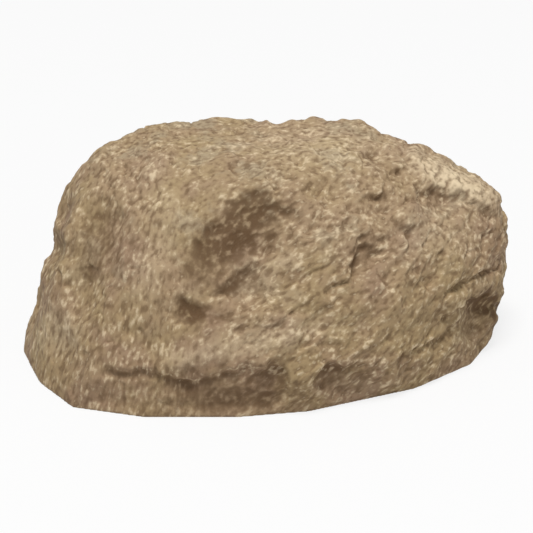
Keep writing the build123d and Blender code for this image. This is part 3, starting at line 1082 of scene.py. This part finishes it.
# ---- the stone ----------------------------------------------------------------------------------
@dataclass
class Stone:
    """The painted boulder: its sculpted block, the hollow shell and the lip on the door."""

    picture: Picture
    voxel_size: float = 0.38 * MM
    kept_faces: float = 0.54  # of the even mesh's triangles, after the flattest are joined
    seed: int = 7
    foot_fade: float = 2.5 * MM  # over this height above the ground the relief comes in
    void_inset: float = 2.4 * MM  # how far inside the hull the cutter for the cavity starts
    corner_inset: float = 1.6  # and at most this many times as far at a sharp corner
    void_foot: float = 0.4 * MM  # how high that cutter's foot is at first
    scoop_reach: float = 4 * MM
    scoop_start: float = 3.6 * MM  # above this height the CAD shell's hollows are followed
    edge_rounds: int = 10
    lip_side_gap: float = 0.35 * MM
    door_gap: float = 0.3 * MM
    warp: float = 6.0  # pixels that the front's forms are bent by
    fine_warp: float = 4.5  # and crumbled by
    facing_ramp: tuple[float, float] = (-0.50, 0.0)  # they come in where the stone turns to the camera
    base_depth: float = 0.15 * MM  # how far the whole surface is set back before the relief
    deepest: float = 1.9 * MM  # how far the relief may go into the casting's wall
    highest: float = 1.2 * MM  # and how far it may stand out of it
    slanted: Lay = ((1.7, 1.0, 0.85), (0.0, 13.0, 0.0))  # how the crumbs on the left lie
    leafy: Lay = ((1.5, 1.0, 0.62), (0.0, 52.0, 0.0))  # and on the right
    slanted_crumbs: tuple[Layer, ...] = ((6, 0.08, 2.1 * MM), (7, 0.12, 1.3 * MM))
    leafy_crumbs: tuple[Layer, ...] = ((8, 0.09, 2.3 * MM), (9, 0.09, 1.3 * MM))
    largest_facet: float = 1e-6  # square metres; a cut face is larger

    def build(self, painted: bpy.types.Material, bare: bpy.types.Material) -> None:
        """Sculpts the block and cuts the shell and the lip from it.

        Args:
            painted: The finish outside.
            bare: The finish inside the casting.
        """
        sculpted = self.sculpt()
        sculpted.data.materials.append(painted)
        sculpted.data.materials.append(bare)
        shell = self.shell_from(sculpted)
        lip = self.lip_from(sculpted)
        drop(sculpted)
        for piece, node, body in ((shell, "rock_shell", "rock"), (lip, "door_lip", "door")):
            self.smooth_outside(piece)
            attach(piece, body)
            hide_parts(node)
            log.info("%s: %d faces", piece.name, len(piece.data.polygons))

    def hull(self, name: str, inset: float = 0.0) -> bpy.types.Object:
        """The boulder without its hollows.

        Args:
            name: The object's name.
            inset: How far its sides and top are moved in.

        Returns:
            A closed object of flat facets.
        """
        shape = bmesh.new()
        shape.from_mesh(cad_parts["rock_shell"].data)
        made = bmesh.ops.convex_hull(shape, input=shape.verts)
        faces = {part for part in made["geom"] if isinstance(part, bmesh.types.BMFace)}
        bmesh.ops.delete(shape, geom=[face for face in shape.faces if face not in faces], context="FACES")
        bmesh.ops.remove_doubles(shape, verts=shape.verts, dist=1e-5)
        bmesh.ops.recalc_face_normals(shape, faces=shape.faces)
        if inset:
            factors = [min(vertex.calc_shell_factor(), self.corner_inset) for vertex in shape.verts]
            moves = [vertex.normal * inset * factor for vertex, factor in zip(shape.verts, factors)]
            for vertex, move in zip(shape.verts, moves):
                on_ground = vertex.co.z < 0.1 * MM
                vertex.co -= move
                vertex.co.z = self.void_foot if on_ground else vertex.co.z
        return show(name, shape)

    def sculpt(self) -> bpy.types.Object:
        """The whole stone as one closed block, with all its relief and what the finish reads."""
        piece = self.hull("stone_block")
        voxel(piece, self.voxel_size)
        skin = Skin(piece.data)
        hull_normals = skin.eased(skin.normals(), 40)
        self.press_scoops(skin)
        ground = skin.points[:, 2].copy()
        skin.points = skin.eased(skin.points, self.edge_rounds)
        low = smoothstep(0.0, 1.0 * MM, ground)
        skin.points[:, 2] = low * skin.points[:, 2] + (1 - low) * ground
        normals = skin.normals()
        forms = MM * self.marked(skin.points, normals, FRONT_FORMS, self.fine_warp)
        broken, crumbs = self.broken_relief(skin.points, normals)
        relief = forms + broken - self.base_depth
        sunken = -self.deepest * np.tanh(-relief / self.deepest)
        standing = self.highest * np.tanh(relief / self.highest)
        relief = np.where(relief < 0, sunken, standing) + crumbs
        fade = smoothstep(0.0, self.foot_fade, skin.points[:, 2])
        skin.points = skin.points + normals * (relief * fade)[:, None]
        skin.points[:, 2] = np.maximum(skin.points[:, 2], 0.0)
        self.store_paint(skin, -skin.eased(forms, 8), hull_normals)
        # painted shade, partly pooled wash, and painted highlight, partly brushed cream, at places on the
        # picture
        for name, places in (("pooled_wash_and_shade", POOLED_WASH_AND_SHADE), ("brush_and_highlight", BRUSH_AND_HIGHLIGHT)):
            skin.keep(name, -self.marked(skin.points, normals, places, 2 * self.fine_warp))
        skin.write()
        changed(piece, "DECIMATE", ratio=self.kept_faces)
        return piece

    def press_scoops(self, skin: Skin) -> None:
        """Moves the points onto the CAD shell's outside, where its hollows lie under the hull.

        Args:
            skin: The block's points.
        """
        normals = skin.normals()
        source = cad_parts["rock_shell"].data
        corners = [vertex.co for vertex in source.vertices]
        tree = BVHTree.FromPolygons(corners, [face.vertices for face in source.polygons])
        for index in np.nonzero(skin.points[:, 2] > self.scoop_start)[0]:
            outside = Vector(skin.points[index] + normals[index] * MM)
            place = tree.ray_cast(outside, Vector(-normals[index]), self.scoop_reach + MM)[0]
            if place is not None:
                skin.points[index] = place

    def marked(self, points: Rows, normals: Rows, marks: dict[str, Any], crumbled: float) -> Numbers:
        """Adds up marks that are placed on the picture, bent so that no edge of theirs runs clean.

        Args:
            points: The block's points.
            normals: Their normals before the relief.
            marks: The forms, or the places of painted shade and of painted highlight.
            crumbled: How far their edges are crumbled, in pixels.

        Returns:
            The marks' height, in their own unit.
        """
        grain = self.grain(0)
        across, down = self.picture.pixels(points)
        for shift, wavelength in ((self.warp, 8 * MM), (crumbled, 2.5 * MM)):
            across = across + shift * grain.layered(points, wavelength, 2)
            down = down + shift * grain.layered(points + 0.1, wavelength, 2)
        total = sum(mark.relief(across, down) for mark in marks.values())
        return total * smoothstep(*self.facing_ramp, self.picture.facing(normals))

    def grain(self, number: int) -> Grain:
        """The stone's grain of that number, each with a seed of its own."""
        return Grain(self.seed + number)

    def broken_relief(self, points: Rows, normals: Rows) -> tuple[Numbers, Numbers]:
        """The swells, broken planes, cracks and crumbs that cover the whole stone.

        Args:
            points: The block's points.
            normals: Their normals. The part that the camera doesn't see gets more planes and cracks.

        Returns:
            The height of the planes and cracks, and that of the crumbs.
        """
        swells = self.grain(1)
        bends = [swells.layered(points + shift, 6 * MM, 3) for shift in (0.0, 0.2, 0.4)]
        bent = points + 1.1 * MM * np.stack(bends, axis=1)
        behind = 1 - smoothstep(-0.05, 0.30, self.picture.facing(normals))
        leafy_share = smoothstep(-22 * MM, -4 * MM, points[:, 0] + 8 * MM * swells.soft(points, 18 * MM))
        patchy = 0.75 + 0.5 * smoothstep(-0.25, 0.25, self.grain(10).soft(points, 13 * MM))
        slanted, leafy = self.laid(bent, self.slanted), self.laid(bent, self.leafy)

        planes = 0.40 * swells.layered(bent, 24 * MM, 2)
        planes += (0.20 + 0.40 * behind) * self.grain(2).planes(leafy, 9 * MM)
        left_planes = 0.36 * self.grain(3).planes(slanted, 3.8 * MM)
        right_planes = 0.74 * patchy * self.grain(4).planes(leafy, 4.8 * MM)
        right_planes += 0.50 * patchy * self.grain(11).layered(leafy, 6.0 * MM, 3, 0.55, crested=True)
        planes += left_planes * (1 - leafy_share) + right_planes * leafy_share

        veins = np.abs(swells.layered(bent, 15 * MM, 2))
        broken = smoothstep(0.10, 0.30, self.grain(5).soft(points, 11 * MM))
        cracks = (1 - smoothstep(0.0, 0.045, veins)) * broken * (0.35 + 0.65 * behind)

        left_crumbs, right_crumbs = (
            sum(high * self.grain(number).crumbs(place, size) for number, high, size in layers)
            for place, layers in ((slanted, self.slanted_crumbs), (leafy, self.leafy_crumbs))
        )
        crumbs = left_crumbs * (1 - leafy_share) + right_crumbs * patchy * leafy_share
        return (planes - 0.9 * cracks) * MM, crumbs * MM

    @staticmethod
    def laid(points: Rows, lay: Lay) -> Rows:
        """The points in the frame of grain that runs one way.

        Args:
            points: The block's points.
            lay: How narrow the grain is along each of its own axes, and how they are turned.

        Returns:
            The points there.
        """
        stretch, turn = lay
        turned = np.array(Euler([math.radians(angle) for angle in turn]).to_matrix())
        return (points @ turned) * np.array(stretch)

    @staticmethod
    def store_paint(skin: Skin, pressed: Numbers, hull_normals: Rows) -> None:
        """Stores what the finish reads: the crumbs' crests, the hollows, the painted shade on parts that
        face down or turn under, and the top.

        Args:
            skin: The finished points.
            pressed: How far the front's forms have moved each in.
            hull_normals: The hull's own normals.
        """
        normals = skin.normals()
        near = skin.eased(skin.points, 12)
        wide = skin.eased(near, 80)
        soft_normals = skin.eased(normals, 8)
        crumb = row_dot(skin.points - near, soft_normals)
        crumb -= skin.eased(crumb, 30)
        form = row_dot(near - wide, soft_normals)
        # painted shade: darker where the surface turns down from the hull, and where it faces the ground
        under = smoothstep(0.05, 0.55, hull_normals[:, 2] - soft_normals[:, 2])
        low = smoothstep(0.0, 0.5, -soft_normals[:, 2]) * 0.8
        skin.keep("crest", smoothstep(-0.10 * MM, 0.13 * MM, crumb))
        # the hollows and the pressed forms take brown, partly painted shade; the raised forms take cream as
        # painted highlight
        skin.keep("hollow", smoothstep(0.04 * MM, 0.5 * MM, -form))
        skin.keep("pressed", smoothstep(0.2 * MM, 2.4 * MM, pressed))
        skin.keep("raised", smoothstep(0.1 * MM, 0.9 * MM, -pressed))
        skin.keep("underside_shade", np.clip(under + low, 0, 1))
        # the upward-facing parts, for the painted sky grey and painted highlight on the top
        skin.keep("top", smoothstep(0.25, 0.8, hull_normals[:, 2]))

    def shell_from(self, sculpted: bpy.types.Object) -> bpy.types.Object:
        """Cuts the hollow casting from the block, with the CAD shell's own inside.

        Args:
            sculpted: The block, which stays as it is.

        Returns:
            The casting.
        """
        piece = show("stone_shell", sculpted.data.copy())
        inside = self.hull("inside", self.void_inset)
        cast = closed_copy("rock_shell")
        cut(inside, cast, Cut.AWAY)
        largest_island(inside)
        for vertex in inside.data.vertices:
            if vertex.co.z < 1.5 * self.void_foot:
                vertex.co.z = BELOW_GROUND
        low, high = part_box("door_lip")
        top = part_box("door_plate")[1].z + self.door_gap
        notch = block(
            "notch",
            (low.x - self.lip_side_gap, low.y, BELOW_GROUND),
            (high.x + self.lip_side_gap, high.y + PAST_BACK, top),
        )
        bare_slot = 1
        for cutter in (inside, notch):
            cutter.data.materials.clear()
            cutter.data.materials.append(None)
            cutter.data.materials.append(None)
            for face in cutter.data.polygons:
                face.material_index = bare_slot
            cut(piece, cutter, Cut.AWAY)
        drop(inside, cast, notch)
        return piece

    @staticmethod
    def lip_from(sculpted: bpy.types.Object) -> bpy.types.Object:
        """Cuts the lip on the door from the block, rebated for the door's lap.

        Args:
            sculpted: The block, which stays as it is.

        Returns:
            The lip.
        """
        piece = show("stone_lip", sculpted.data.copy())
        low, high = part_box("door_lip")
        slab = block("slab", tuple(low), (high.x, high.y + PAST_BACK, high.z))
        door = closed_copy("door_plate")
        cut(piece, slab, Cut.KEEP)
        cut(piece, door, Cut.AWAY)
        drop(slab, door)
        return piece

    def smooth_outside(self, piece: bpy.types.Object) -> None:
        """Shades the sculpted faces smoothly and keeps the cut ones flat.

        Args:
            piece: The shell or the lip.
        """
        faces = piece.data.polygons
        smooth = [face.material_index == 0 and face.area < self.largest_facet for face in faces]
        faces.foreach_set("use_smooth", smooth)
        piece.data.update()


# ---- the parts underneath -----------------------------------------------------------------------
@dataclass
class Compartment:
    """The base plate with its seals, and the tub with its foam."""

    plate: Moulded = Moulded("moulded_plate", paint(52, 50, 49), texture=0.35 * MM, roughness=0.55)
    tub: Moulded = Moulded("moulded_tub", paint(66, 64, 62), texture=0.5 * MM, roughness=0.5)
    foam_voxel: float = 0.45 * MM
    foam_crown: float = 0.25 * MM
    pore_seed: int = 3
    pore_size: float = 1.3 * MM
    pore_depth: float = 0.10 * MM

    def dress(self, rubber: bpy.types.Material) -> None:
        """Gives the plate, tub and seals their finishes, and makes the foam.

        Args:
            rubber: The seals' finish.
        """
        dress_nodes(self.plate.make(), "base_plate")
        dress_nodes(self.tub.make(), "key_tub")
        dress_nodes(rubber, "base_seal", "tub_seal", "mouth_seal")
        self.make_foam()

    def make_foam(self) -> None:
        """Makes the pad in the tub's roof, crowned towards the keys and open-celled."""
        piece = closed_copy("foam_pad")
        voxel(piece, self.foam_voxel)
        piece.name = "tub_foam"
        low, high = (np.array(corner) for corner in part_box("foam_pad"))
        skin = Skin(piece.data)
        skin.points = skin.eased(skin.points, 2)
        middle = (low + high) / 2
        share = np.abs(skin.points - middle) / ((high - low) / 2)
        crown = (1 - share[:, 0] ** 4) * (1 - share[:, 1] ** 4)
        under = skin.points[:, 2] < middle[2]
        skin.points[:, 2] += np.where(under, self.foam_crown * (1 - 2 * crown), 0.0)
        pores = np.clip(Grain(self.pore_seed).soft(skin.points, self.pore_size), 0, 1)
        skin.points -= skin.normals() * (self.pore_depth * pores)[:, None]
        skin.points = np.clip(skin.points, low, high)
        skin.write()
        piece.data.materials.clear()
        piece.data.materials.append(Foam().make())
        piece.data.polygons.foreach_set("use_smooth", [True] * len(piece.data.polygons))
        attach(piece, "rock")
        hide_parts("foam_pad")
        log.info("%s: %d faces", piece.name, len(piece.data.polygons))


@dataclass
class Fasteners:
    """The screws and the inserts that they go into."""

    zinc: Metal = Metal("zinc_plate", paint(196, 198, 200), paint(150, 150, 146), roughness=0.32)
    brass: Metal = Metal("turned_brass", paint(206, 170, 98), paint(150, 116, 62), roughness=0.28)

    def dress(self) -> None:
        """Gives them their finishes."""
        dress_nodes(self.zinc.make(), "base_screws", "tub_screws")
        dress_nodes(self.brass.make(), "threaded_inserts")


@dataclass
class Door:
    """The sliding door under the stone."""

    plastic: Moulded = Moulded("moulded_door", paint(60, 58, 56), texture=0.45 * MM, roughness=0.48)

    def dress(self) -> None:
        """Gives the door its finish."""
        dress_nodes(self.plastic.make(), "door_plate")


def dress_nodes(material: bpy.types.Material, *nodes: str) -> None:
    """Gives CAD nodes a finish, and reports them.

    Args:
        material: The finish.
        *nodes: The nodes' names.
    """
    for node in nodes:
        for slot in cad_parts[node].material_slots:
            slot.material = material
        log.info("%s: %s", node, material.name)


# ---- the studio ---------------------------------------------------------------------------------
@dataclass
class Studio:
    """A pale floor, a soft key light almost straight above, a weak fill and a pale surround."""

    floor_reach: float = 4.0
    floor_level: float = -0.02 * MM
    floor_color: Color = (0.80, 0.80, 0.80, 1.0)
    floor_glow: float = 0.80  # how much of the floor the camera sees as plain white
    world_strength: float = 0.42
    lit_point: Corner = (0.0, 0.0, 20 * MM)
    key_place: Corner = (-0.03, -0.30, 1.20)
    key_size: float = 0.40
    key_power: float = 12.0
    fill_place: Corner = (0.80, -0.80, 0.55)
    fill_size: float = 0.80
    fill_power: float = 1.0

    def build(self) -> None:
        """Makes the floor, the world and the lamps."""
        bpy.context.scene.view_settings.view_transform = "Standard"
        self.floor()
        self.world()
        self.lamp("key_light", self.key_place, self.key_size, self.key_power)
        self.lamp("fill_light", self.fill_place, self.fill_size, self.fill_power)

    def floor(self) -> bpy.types.Object:
        """A large plain floor, just under the stone."""
        signs = ((-1, -1), (1, -1), (1, 1), (-1, 1))
        corners = [(x * self.floor_reach, y * self.floor_reach, self.floor_level) for x, y in signs]
        mesh = bpy.data.meshes.new("floor")
        mesh.from_pydata(corners, [], [(0, 1, 2, 3)])
        finish = Finish("floor")
        share = finish.seen().ramp(0.0, 1.0, 0.0, self.floor_glow)
        matte = finish.add("ShaderNodeBsdfDiffuse", None, {"Color": self.floor_color})
        glow = finish.add("ShaderNodeEmission", None, {"Color": (1, 1, 1, 1), "Strength": 1.0})
        parts = {0: share, 1: matte.outputs[0], 2: glow.outputs[0]}
        surface = finish.add("ShaderNodeMixShader", None, parts)
        finish.add("ShaderNodeOutputMaterial", None, {"Surface": surface.outputs[0]})
        mesh.materials.append(finish.material)
        return show("floor", mesh)

    def world(self) -> None:
        """Makes a plain surround, at full strength to the camera and an even light on the stone."""
        surround = bpy.data.worlds.new("surround")
        bpy.context.scene.world = surround
        nodes = Nodes(surround)
        strength = nodes.seen().ramp(0.0, 1.0, self.world_strength, 1.0)
        light = nodes.add("ShaderNodeBackground", None, {"Strength": strength})
        nodes.add("ShaderNodeOutputWorld", None, {"Surface": light.outputs[0]})

    def lamp(self, name: str, place: Corner, size: float, power: float) -> None:
        """Hangs a soft square lamp that points at the stone.

        Args:
            name: Its name.
            place: Where it hangs.
            size: The length of its side.
            power: In watts.
        """
        light = bpy.data.lights.new(name, "AREA")
        light.shape = "SQUARE"
        light.size = size
        light.energy = power
        lamp = show(name, light)
        lamp.location = place
        lamp.rotation_euler = (Vector(self.lit_point) - Vector(place)).to_track_quat("-Z", "Y").to_euler()


def main() -> None:
    """Builds the studio and the rock."""
    logging.basicConfig(level=logging.INFO, format="%(name)s: %(message)s")
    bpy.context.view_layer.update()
    picture = Picture()
    picture.shoot()
    Studio().build()
    Stone(picture).build(CastStone().make(), BareCast().make())
    Compartment().dress(Rubber().make())
    Fasteners().dress()
    Door().dress()


if __name__ == "__main__":
    main()
